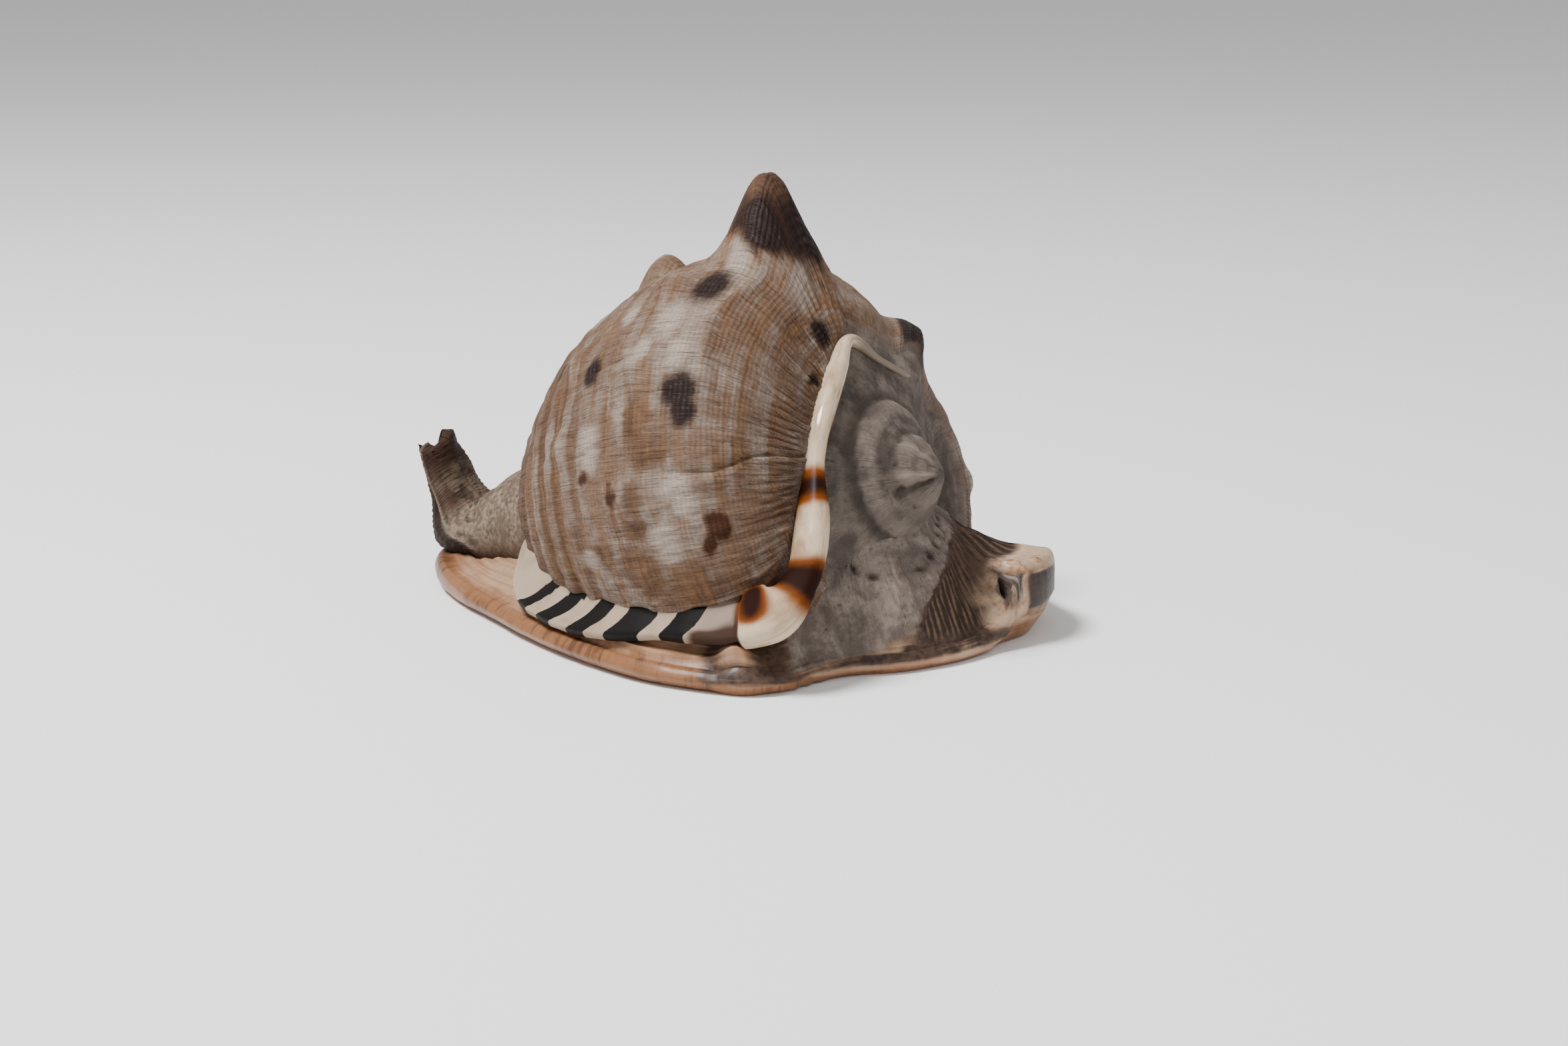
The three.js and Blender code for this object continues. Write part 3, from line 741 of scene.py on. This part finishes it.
class Wire:      # a shader socket that Python sums work on
    def __init__(self, socket, tree):
        self.socket = socket
        self.tree = tree

    def node(self, kind, settings=None, values=None, output=0):
        made = self.tree.nodes.new("ShaderNode" + kind)
        for title, value in (settings or {}).items():
            setattr(made, title, value)
        for title, value in (values or {}).items():
            if isinstance(value, Wire):
                self.tree.links.new(value.socket, made.inputs[title])
            else:
                made.inputs[title].default_value = value
        return Wire(made.outputs[output], self.tree)

    def sum(self, operation, first, second=0.0):
        return self.node("Math", {"operation": operation}, {0: first, 1: second})

    def __add__(self, other):
        return self.sum("ADD", self, other)

    def __mul__(self, other):
        return self.sum("MULTIPLY", self, other)

    def __sub__(self, other):
        return self.sum("SUBTRACT", self, other)

    def __rsub__(self, other):
        return self.sum("SUBTRACT", other, self)

    __radd__ = __add__
    __rmul__ = __mul__

    def sine(self):
        return self.sum("SINE", self)

    def between(self, low, high):      # 0 below low, 1 above high, smooth between
        return self.node("MapRange", {"interpolation_type": "SMOOTHSTEP"},
                         {0: self, 1: low, 2: high, 3: 0.0, 4: 1.0})

    def over(self, under, colour):      # this mask lays a colour over another
        return self.node("Mix", {"data_type": "RGBA"}, {0: self, 6: under, 7: colour}, 2)

    def frayed(self, stray, reach=0.4):      # this mask with an uneven edge
        return self + stray * self.between(0.0, reach)

    def noise(self, stretch, detail, roughness=0.55, distortion=0.0):      # stretch along the three axes
        scaled = self.node("VectorMath", {"operation": "MULTIPLY"}, {0: self, 1: stretch})
        return self.node("TexNoise", {}, {"Vector": scaled, "Scale": 1.0, "Detail": detail,
                                          "Roughness": roughness, "Distortion": distortion})

    def place(self):      # the surface's own coordinates, in metres
        return self.node("TexCoord", {}, {}, 3)

    def parts(self):
        split = self.node("SeparateXYZ", {}, {0: self})
        return [Wire(socket, self.tree) for socket in split.socket.node.outputs]


def finishOf(name, fixed):      # a new material, its first wire and its shader
    made = bpy.data.materials.new(name)
    made.use_nodes = True
    tree = made.node_tree
    shader = tree.nodes["Principled BSDF"]
    for title, value in fixed.items():
        shader.inputs[title].default_value = value
    return made, Wire(None, tree), shader


def painted(start, *titles):
    return [start.node("Attribute", {"attribute_type": "GEOMETRY", "attribute_name": title}, {}, 1)
            for title in titles]


def settleFinish(start, shader, colour, roughness, bumps):
    start.tree.links.new(colour.socket, shader.inputs["Base Color"])
    start.tree.links.new(roughness.socket, shader.inputs["Roughness"])
    normal = None
    for height, distance, strength in bumps:
        values = {"Height": height, "Distance": distance, "Strength": strength}
        if normal:
            values["Normal"] = normal
        normal = start.node("Bump", {}, values)
    start.tree.links.new(normal.socket, shader.inputs["Normal"])


# finish of the whorls: chalky, with growth lines round and fine threads along

chalk = {
    "pale": tone(148, 132, 120), "white": tone(170, 155, 142), "taupe": tone(116, 92, 76),
    "brown": tone(94, 68, 50), "gold": tone(130, 98, 70), "rust": tone(66, 38, 20),
    "blotch": tone(54, 35, 29), "ink": tone(27, 17, 15), "sheen": tone(80, 66, 64),
    "spire": tone(98, 87, 80), "spirePale": tone(136, 123, 112), "spireDark": tone(76, 65, 57),
    # groove: painted shade for grooves, pits and the whorl along the old lip
    "groove": tone(46, 37, 31), "threadSpacing": 1.25,
}


def stoneOf(place):      # the worn grey of the spire and the older whorl
    broad = place.noise((120, 120, 120), 4.0, 0.6, 0.5)
    flecks = place.noise((700, 700, 700), 3.0, 0.6)
    stone = (broad * 0.8 + flecks * 0.25).between(0.42, 0.7).over(chalk["spire"], chalk["spirePale"])
    stone = (((1 - broad) * 0.8 + flecks * 0.3).between(0.54, 0.76) * 0.6).over(stone, chalk["spireDark"])
    # the darkest flecks, sunk as pits by the bump, take painted shade
    return (flecks.between(0.36, 0.30) * 0.45).over(stone, chalk["groove"]), flecks


def shaded(start, colour, shade):      # darkens a colour by a number
    grey = start.node("CombineColor", {}, {0: shade, 1: shade, 2: shade})
    return start.node("Mix", {"data_type": "RGBA", "blend_type": "MULTIPLY"},
                      {0: 1.0, 6: colour, 7: grey}, 2)


def whorlChalk():
    made, start, shader = finishOf("whorlChalk", {"Specular IOR Level": 0.12})
    place = start.place()
    grain, tints, ages = painted(start, "grain", "tints", "ages")
    run, _, crest = grain.parts()
    blotch, rust, pale = tints.parts()
    brown, spire, deep = ages.parts()
    broad = grain.noise((0.06, 0.05, 0), 4.0, 0.6, 0.4)
    cloud = grain.noise((0.16, 0.14, 0), 3.0, 0.6)
    lines = grain.noise((0.05, 1.1, 0), 4.0, 0.7, 0.3)      # growth lines, one beside the next
    fineLines = grain.noise((0.1, 1.9, 0), 2.0, 0.6, 0.2)
    bands = grain.noise((0.32, 0.022, 0), 3.0, 0.6, 0.2)      # soft bands along the threads
    wobble = cloud * 1.6
    threads = ((run + wobble) * (2 * math.pi / chalk["threadSpacing"])).sine() * 0.5 + 0.5
    flecks = grain.noise((0.9, 0.9, 0), 2.0, 0.5)
    stray = (lines - 0.5) * 0.9 + (bands - 0.5) * 0.8 + (cloud - 0.5) * 0.8

    colour = (broad + stray * 0.45).between(0.3, 0.62).over(chalk["pale"], chalk["taupe"])
    colour = (bands.between(0.46, 0.66) * 0.6).over(colour, chalk["gold"])
    colour = ((bands + (cloud - 0.5) * 0.6).between(0.56, 0.74) * 0.6).over(colour, chalk["brown"])
    colour = brown.frayed(stray).between(0.1, 1.0).over(colour, chalk["brown"])
    colour = (brown * bands.between(0.42, 0.62) * 0.7).over(colour, chalk["gold"])
    colour = (pale.frayed(stray * 0.9, 0.5).between(0.2, 1.1) * 0.9).over(colour, chalk["white"])
    colour = ((lines - 0.5) * 2.0 + (cloud - 0.5)).between(0.15, 0.9).over(colour, chalk["brown"])
    colour = rust.frayed(stray).between(0.15, 0.85).over(colour, chalk["rust"])
    ragged = blotch.frayed(stray * 0.5 + (flecks - 0.5) * 0.25, 0.35)
    colour = (ragged.between(0.03, 0.8) * 0.95).over(colour, chalk["blotch"])
    colour = (ragged.between(0.5, 1.0) * 0.85).over(colour, chalk["ink"])
    glints = threads * (flecks * 1.6 - 0.3) * 0.7
    colour = (ragged.between(0.75, 1.15) * glints).over(colour, chalk["sheen"])
    stone, grit = stoneOf(place)
    # crest pales and brightens the spire's ridges, partly painted highlight; where it drops below zero it
    # is painted shade
    stone = shaded(start, (crest * 0.85).over(stone, chalk["spirePale"]), crest * 0.25 + 0.74)
    colour = (spire * (1 - blotch * 0.8)).over(colour, stone)
    # painted shade in the grooves and along the old lip
    colour = (deep.between(0.15, 0.9) * 0.85).over(colour, chalk["groove"])
    streak = threads * cloud * 0.2 + fineLines * 0.5 + lines * 0.5 - 0.62
    colour = shaded(start, colour, streak * (1 - spire * 0.7) + 1)
    roughness = 0.44 + cloud * 0.26 + spire * 0.1 - blotch * 0.12
    worn = 1 - spire * 0.75
    bumps = [(lines * worn, 0.0014, 0.9), (fineLines * worn, 0.0005, 0.8),
             (threads * worn * cloud, 0.0003, 0.7), (grit, 0.0004, 0.5)]
    settleFinish(start, shader, colour, roughness, bumps)
    return made


# finish of the shield: smooth porcelain, chalky where the older whorl shows

porcelain = {
    "peach": tone(146, 102, 74), "cream": tone(172, 140, 112), "orange": tone(134, 90, 58),
    "deepOrange": tone(72, 42, 26), "brown": tone(76, 57, 46),
    "riblet": tone(92, 72, 56), "ribletDark": tone(42, 30, 24), "channel": tone(134, 127, 120),
    "slate": tone(50, 38, 32), "underside": tone(206, 136, 88), "cornerCream": tone(186, 158, 132),
}


def shieldPorcelain():
    made, start, shader = finishOf("shieldPorcelain", {"Specular IOR Level": 0.2, "Coat Roughness": 0.22})
    place = start.place()
    grain, tints, ages = painted(start, "grain", "tints", "ages")
    along, _, up = grain.parts()
    rim, older, riblet = tints.parts()
    channel, slate, cream = ages.parts()
    broad = place.noise((60, 60, 60), 4.0, 0.6, 0.3)
    streaks = grain.noise((0.05, 0.9, 0.4), 3.0, 0.6, 0.4)
    radial = grain.noise((0.55, 0.06, 0.06), 4.0, 0.65, 0.3)
    fine = place.noise((700, 700, 700), 2.0, 0.5)
    stray = (broad - 0.5) * 0.9 + (streaks - 0.5) * 0.6

    colour = (streaks * 0.6 + broad * 0.5).between(0.4, 0.72).over(porcelain["cream"], porcelain["peach"])
    colour = rim.frayed(stray).between(0.1, 1.0).over(colour, porcelain["orange"])
    colour = (rim.between(0.2, 1.0) * (radial + (broad - 0.5)).between(0.46, 0.75) * 0.8).over(
        colour, porcelain["deepOrange"])
    stone, grit = stoneOf(place)
    colour = older.frayed(stray * 0.6).between(0.2, 0.8).over(colour, stone)
    colour = (older * radial.between(0.52, 0.68) * 0.45).over(colour, porcelain["brown"])
    slant = ((along + up * 0.12) * (2 * math.pi / shield["ribletSpacing"]) + broad * 6).sine() * 0.5 + 0.5
    ribs = (slant * 0.6 + fine * 0.5).between(0.45, 0.95).over(porcelain["ribletDark"], porcelain["riblet"])
    ribs = broad.between(0.5, 0.66).over(ribs, porcelain["brown"])
    # plain brown: along the rim, and painted shadow under the lip's knob
    plain = (broad * 0.7 + fine * 0.3).between(0.4, 0.6).over(porcelain["ribletDark"], porcelain["brown"])
    ribs = (1 - riblet).between(0.2, 0.4).over(ribs, plain)
    colour = riblet.frayed(stray).between(0.1, 0.5).over(colour, ribs)
    combed = grain.noise((1.6, 0.05, 0.1), 2.0, 0.6)
    blue = combed.between(0.38, 0.6).over(porcelain["channel"], porcelain["slate"])
    colour = channel.frayed(stray).between(0.15, 0.7).over(colour, blue)
    colour = slate.frayed(stray).between(0.15, 0.7).over(colour, porcelain["slate"])
    speckled = porcelain["cornerCream"], porcelain["orange"]
    colour = (cream * 0.9).over(colour, (fine * 0.5 + broad * 0.6).between(0.52, 0.72).over(*speckled))
    colour = (up.between(0.5, 0.1) * broad.between(0.35, 0.7)).over(colour, porcelain["underside"])
    colour = shaded(start, colour, radial * 0.4 + fine * 0.3 + 0.62)
    roughness = 0.34 + broad * 0.16 + older * 0.22 + riblet * 0.25
    start.tree.links.new(((1 - older) * (1 - riblet) * (1 - slate) * (1 - channel) * 0.22).socket,
                         shader.inputs["Coat Weight"])
    bumps = [(streaks, 0.0004, 0.5), (radial * older, 0.0012, 0.8), (grit * (older + riblet), 0.0005, 0.6)]
    settleFinish(start, shader, colour, roughness, bumps)
    return made


# finish of the old lip and its flange: wet-looking enamel, amber spots, near-black bars

enamel = {
    "cream": tone(198, 176, 150), "warm": tone(156, 128, 98), "amber": tone(116, 58, 10),
    "deep": tone(32, 8, 2), "flange": tone(138, 120, 107), "bar": tone(18, 15, 14),
    "worn": tone(112, 98, 86), "shadow": tone(58, 40, 30),
}


def lipEnamel():
    made, start, shader = finishOf("lipEnamel", {"Specular IOR Level": 0.1, "Coat Roughness": 0.1})
    grain, tints, ages = painted(start, "grain", "tints", "ages")
    amber, dark, bar = tints.parts()
    flange, shade, worn = ages.parts()
    cloud = grain.noise((0.12, 0.2, 1.0), 3.0, 0.55)
    drift = grain.noise((0.5, 0.3, 1.0), 3.0, 0.6)
    stray = (drift - 0.5) * 0.5
    colour = cloud.between(0.40, 0.72).over(enamel["cream"], enamel["warm"])
    # the flange's own grey-taupe; beside the spotted knob it is painted shade
    colour = flange.over(colour, enamel["flange"])
    colour = shade.between(0.05, 0.8).over(colour, enamel["shadow"])
    colour = amber.frayed(stray * 0.5).between(0.05, 0.8).over(colour, enamel["amber"])
    colour = dark.frayed(stray * 0.5).between(0.05, 0.75).over(colour, enamel["deep"])
    colour = bar.frayed(stray * 0.8).between(0.4, 0.6).over(colour, enamel["bar"])
    colour = (worn * 0.92).over(colour, enamel["worn"])
    low = grain.parts()[0].between(80, 92)      # duller towards the spotted knob
    roughness = 0.16 + cloud * 0.14 + low * 0.3 + worn * 0.3 + amber * 0.2
    coat = (1 - low * 0.9) * (1 - flange) * (1 - worn * 0.8) * (1 - amber.between(0.0, 0.4)) * 0.7
    start.tree.links.new(coat.socket, shader.inputs["Coat Weight"])
    settleFinish(start, shader, colour, roughness, [(cloud, 0.0006, 0.25)])
    return made


# finish of the siphon canal: barky grey-brown with growth rings

bark = {
    "brown": tone(68, 51, 41), "pale": tone(104, 88, 74), "dark": tone(34, 24, 19),
    "edge": tone(140, 124, 108), "red": tone(58, 36, 27),
}


def spoutBark():
    made, start, shader = finishOf("spoutBark", {"Specular IOR Level": 0.12})
    place = start.place()
    grain, tints, ages = painted(start, "grain", "tints", "ages")
    up = grain.parts()[2]
    hollow, fold, pits = tints.parts()
    edge, ribs, tip = ages.parts()
    cloud = place.noise((110, 110, 110), 4.0, 0.65, 0.3)
    fine = grain.noise((1.3, 0.12, 0), 3.0, 0.65, 0.4)
    flecks = place.noise((800, 800, 800), 2.0, 0.5)
    colour = (cloud * 0.8 + ribs * 0.15).between(0.4, 0.7).over(bark["pale"], bark["brown"])
    colour = (fine.between(0.46, 0.66) * (0.6 - fold * 0.3)).over(colour, bark["dark"])
    colour = (cloud.between(0.4, 0.6) * (1 - fold) * 0.5).over(colour, bark["red"])
    mottled = (cloud * 0.6 + flecks * 0.4).between(0.42, 0.62)
    colour = (fold * up.between(8, 14) * mottled * 0.8).over(colour, bark["edge"])
    colour = (up.between(14, 8) * 0.6).over(colour, bark["red"])
    colour = ((pits + (flecks - 0.5) * 0.6).between(0.3, 0.9) * 0.55).over(colour, bark["dark"])
    # dark for the tip's own colour, and dark brown with painted shade in the hollow
    colour = (hollow * (cloud * 0.6 + 0.55)).over(colour, bark["dark"])
    colour = (tip * cloud.between(0.45, 0.6) * 0.7).over(colour, bark["red"])
    colour = (edge * 0.8).over(colour, bark["edge"])
    colour = shaded(start, colour, flecks * 0.5 + fine * 0.3 + 0.55)
    roughness = 0.5 + cloud * 0.25
    settleFinish(start, shader, colour, roughness, [(fine, 0.0007, 0.8), (flecks, 0.0003, 0.5)])
    return made


# finish inside the mouth: glossy, brown between the teeth

throat = {
    "cream": tone(228, 192, 146), "peach": tone(204, 140, 92), "stain": tone(72, 40, 26),
    "deep": tone(112, 66, 42),
}


def mouthEnamel():
    made, start, shader = finishOf("mouthEnamel", {"Specular IOR Level": 0.5, "Coat Weight": 0.3,
                                                   "Coat Roughness": 0.1})
    grain, tints = painted(start, "grain", "tints")
    ridge, held, depth = tints.parts()
    cloud = grain.noise((0.15, 0.15, 0.15), 3.0, 0.6)
    colour = cloud.between(0.4, 0.7).over(throat["cream"], throat["peach"])
    colour = (held * (1 - ridge).between(0.4, 0.9) * 0.85).over(colour, throat["stain"])
    colour = (depth * 0.9).over(colour, throat["deep"])
    roughness = 0.16 + cloud * 0.15
    settleFinish(start, shader, colour, roughness, [(cloud, 0.0005, 0.3)])
    return made


# one shell

joining = {
    "weld": 0.00002,      # metres: points of a seam closer than this become one
    "sharpDegrees": 48,
    "margin": 0.00001,      # metres kept inside the CAD shell's box
}


def shellPiece():
    chalkFinish, shieldFinish = whorlChalk(), shieldPorcelain()
    lipFinish, spoutFinish, mouthFinish = lipEnamel(), spoutBark(), mouthEnamel()
    print("finishes made")
    makings = {"whorls": (*whorls(), chalkFinish), "shield": (*shieldPiece(), shieldFinish),
               "lip": (*lipPiece(), lipFinish), "spout": (*spoutPiece(), spoutFinish),
               "mouth": (*mouthPiece(), mouthFinish),
               "channel": (*cutPiece(spout["channel"], (1, 0, 0), (0, 0, 0.6)), spoutFinish),
               "notch": (*cutPiece(mouth["notch"], (0, 1, 0), (0, 0, 0)), shieldFinish)}
    parts, sources, finishes = {}, {}, []
    for number, (title, (points, grain, tints, ages, finish)) in enumerate(makings.items(), 1):
        made = np.full(points.shape, float(number))
        layers = {"grain": grain, "tints": tints, "ages": ages, "made": made}
        parts[title] = gridMesh(title, points, layers, finish)
        sources.setdefault(finish.name, []).append(parts[title].data)
        finishes.append(finish.name)
    sources = {name: lookUp(meshes) for name, meshes in sources.items()}
    print("parts made")

    shell = parts["whorls"]
    bpy.context.scene.collection.objects.link(shell)
    groups = [carve(shell, [parts["shield"], parts["lip"], parts["spout"]], "UNION"),
              carve(shell, [parts["mouth"], parts["channel"], parts["notch"]], "DIFFERENCE")]
    ready = bpy.context.evaluated_depsgraph_get()
    joined = bpy.data.meshes.new_from_object(shell.evaluated_get(ready))
    tidySeams(joined)
    print("joined", len(joined.vertices), len(joined.polygons))
    corners = cornerLayers(joined, sources, finishes)
    for title in (*corners, "made"):
        joined.attributes.remove(joined.attributes[title])
    for title, values in corners.items():
        held = joined.attributes.new(title, "FLOAT_VECTOR", "CORNER")
        held.data.foreach_set("vector", values.ravel())
    for part in parts.values():
        bpy.data.objects.remove(part)
    for group in groups:
        bpy.data.collections.remove(group)
    fitBox(joined)
    joined.polygons.foreach_set("use_smooth", np.ones(len(joined.polygons), bool))
    joined.set_sharp_from_angle(angle=math.radians(joining["sharpDegrees"]))
    piece = bpy.data.objects.new("helmetShell", joined)
    bpy.context.scene.collection.objects.link(piece)
    return piece


def lookUp(meshes):      # the points and layers of one finish, to be found by place
    places = [vertex.co for mesh in meshes for vertex in mesh.vertices]
    tree = KDTree(len(places))
    for index, place in enumerate(places):
        tree.insert(place, index)
    tree.balance()
    return tree, {title: np.vstack([vectors(mesh, title) for mesh in meshes])
                  for title in ("grain", "tints", "ages")}


def tidySeams(mesh):      # no slivers where the parts were joined
    weld = joining["weld"]
    held = bmesh.new()
    held.from_mesh(mesh)
    bmesh.ops.remove_doubles(held, verts=held.verts, dist=weld)
    bmesh.ops.dissolve_degenerate(held, edges=held.edges, dist=weld)
    held.to_mesh(mesh)
    held.free()
    mesh.validate()


def numbers(items, title):
    held = np.empty(len(items), np.int32)
    items.foreach_get(title, held)
    return held


def cornerLayers(mesh, sources, finishes):      # each face reads the layers of the part that it came from
    names = list(sources)
    made = vectors(mesh, "made")[:, 0]
    vertexOf = numbers(mesh.loops, "vertex_index")
    faceFinish = np.array([names.index(material.name) for material in mesh.materials])[
        numbers(mesh.polygons, "material_index")]
    loopFinish = np.repeat(faceFinish, numbers(mesh.polygons, "loop_total"))
    whole = np.isclose(made, np.round(made)) & (made > 0.5)
    partFinish = np.array([-1] + [names.index(name) for name in finishes])
    own = np.where(whole, partFinish[np.clip(np.round(made).astype(int), 0, len(finishes))], -1)
    corners = {title: vectors(mesh, title)[vertexOf] for title in ("grain", "tints", "ages")}
    strays = np.nonzero(own[vertexOf] != loopFinish)[0]
    seen = {}
    for loop in strays:
        tree, kept = sources[names[loopFinish[loop]]]
        key = int(vertexOf[loop]), int(loopFinish[loop])
        if key not in seen:
            seen[key] = tree.find(mesh.vertices[key[0]].co)[1]
        for title, values in corners.items():
            values[loop] = kept[title][seen[key]]
    print("corners mended", len(strays))
    return corners


def fitBox(mesh):      # the finished surface keeps within the CAD shell's box
    places = np.empty(len(mesh.vertices) * 3, np.float32)
    mesh.vertices.foreach_get("co", places)
    places = places.reshape(-1, 3).astype(float)
    low, high = places.min(axis=0), places.max(axis=0)
    cadLow, cadHigh = np.array(cadBox[0]), np.array(cadBox[1])
    print("before fitting, mm", np.round(low * 1000, 1), np.round(high * 1000, 1))
    margin = joining["margin"]
    scale = (cadHigh - cadLow - 2 * margin) / (high - low)
    places = cadLow + margin + (places - low) * scale
    mesh.vertices.foreach_set("co", places.astype(np.float32).ravel())
    mesh.update()


studio = {
    "floor": tone(250, 250, 250), "floorRoughness": 0.9, "floorReach": 4,
    "floorGap": 0.0002,      # metres under the shell, against flicker
    "sky": 0.5,
    # name, place, width, power
    "lights": [["key", (-0.35, -0.45, 1.2), 0.45, 30], ["fill", (0.9, -0.5, 0.6), 0.8, 3]],
    "lightsAim": (0, 0, 0.04),
    "camera": (0.3754, -0.5647, 0.1812),
    "looksAt": (0.0141, 0.0135, 0.0207),
    "lens": 64.98, "sensor": 36,
}


def aimed(thing, place, target):
    thing.location = place
    thing.rotation_euler = (Vector(target) - Vector(place)).to_track_quat("-Z", "Y").to_euler()
    bpy.context.scene.collection.objects.link(thing)
    return thing


def softLight(name, place, width, power):
    light = bpy.data.lights.new(name, "AREA")
    light.shape = "DISK"
    light.size = width
    light.energy = power
    return aimed(bpy.data.objects.new(name, light), place, studio["lightsAim"])


def makeStudio():
    camera = bpy.data.cameras.new("camera")
    camera.lens = studio["lens"]
    camera.sensor_width = studio["sensor"]
    camera.clip_start = 0.01
    eye = bpy.data.objects.new("camera", camera)
    bpy.context.scene.camera = aimed(eye, studio["camera"], studio["looksAt"])

    world = bpy.data.worlds.new("paleRoom")
    world.use_nodes = True
    background = world.node_tree.nodes["Background"]
    background.inputs["Color"].default_value = (1.0, 1.0, 1.0, 1.0)
    background.inputs["Strength"].default_value = studio["sky"]
    bpy.context.scene.world = world
    for light in studio["lights"]:
        softLight(*light)

    ground = bpy.data.meshes.new("floor")
    far = studio["floorReach"]
    ground.from_pydata([(-far, -far, 0), (far, -far, 0), (far, far, 0), (-far, far, 0)], [], [(0, 1, 2, 3)])
    paint, _, _ = finishOf("floorPaint", {"Base Color": studio["floor"],
                                          "Roughness": studio["floorRoughness"]})
    ground.materials.append(paint)
    floor = bpy.data.objects.new("floor", ground)
    floor.location = (0, 0, cadBox[0][2] - studio["floorGap"])
    bpy.context.scene.collection.objects.link(floor)


shell = shellPiece()
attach(shell, "root")
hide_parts("helmet_shell")
makeStudio()
print("studio ready")
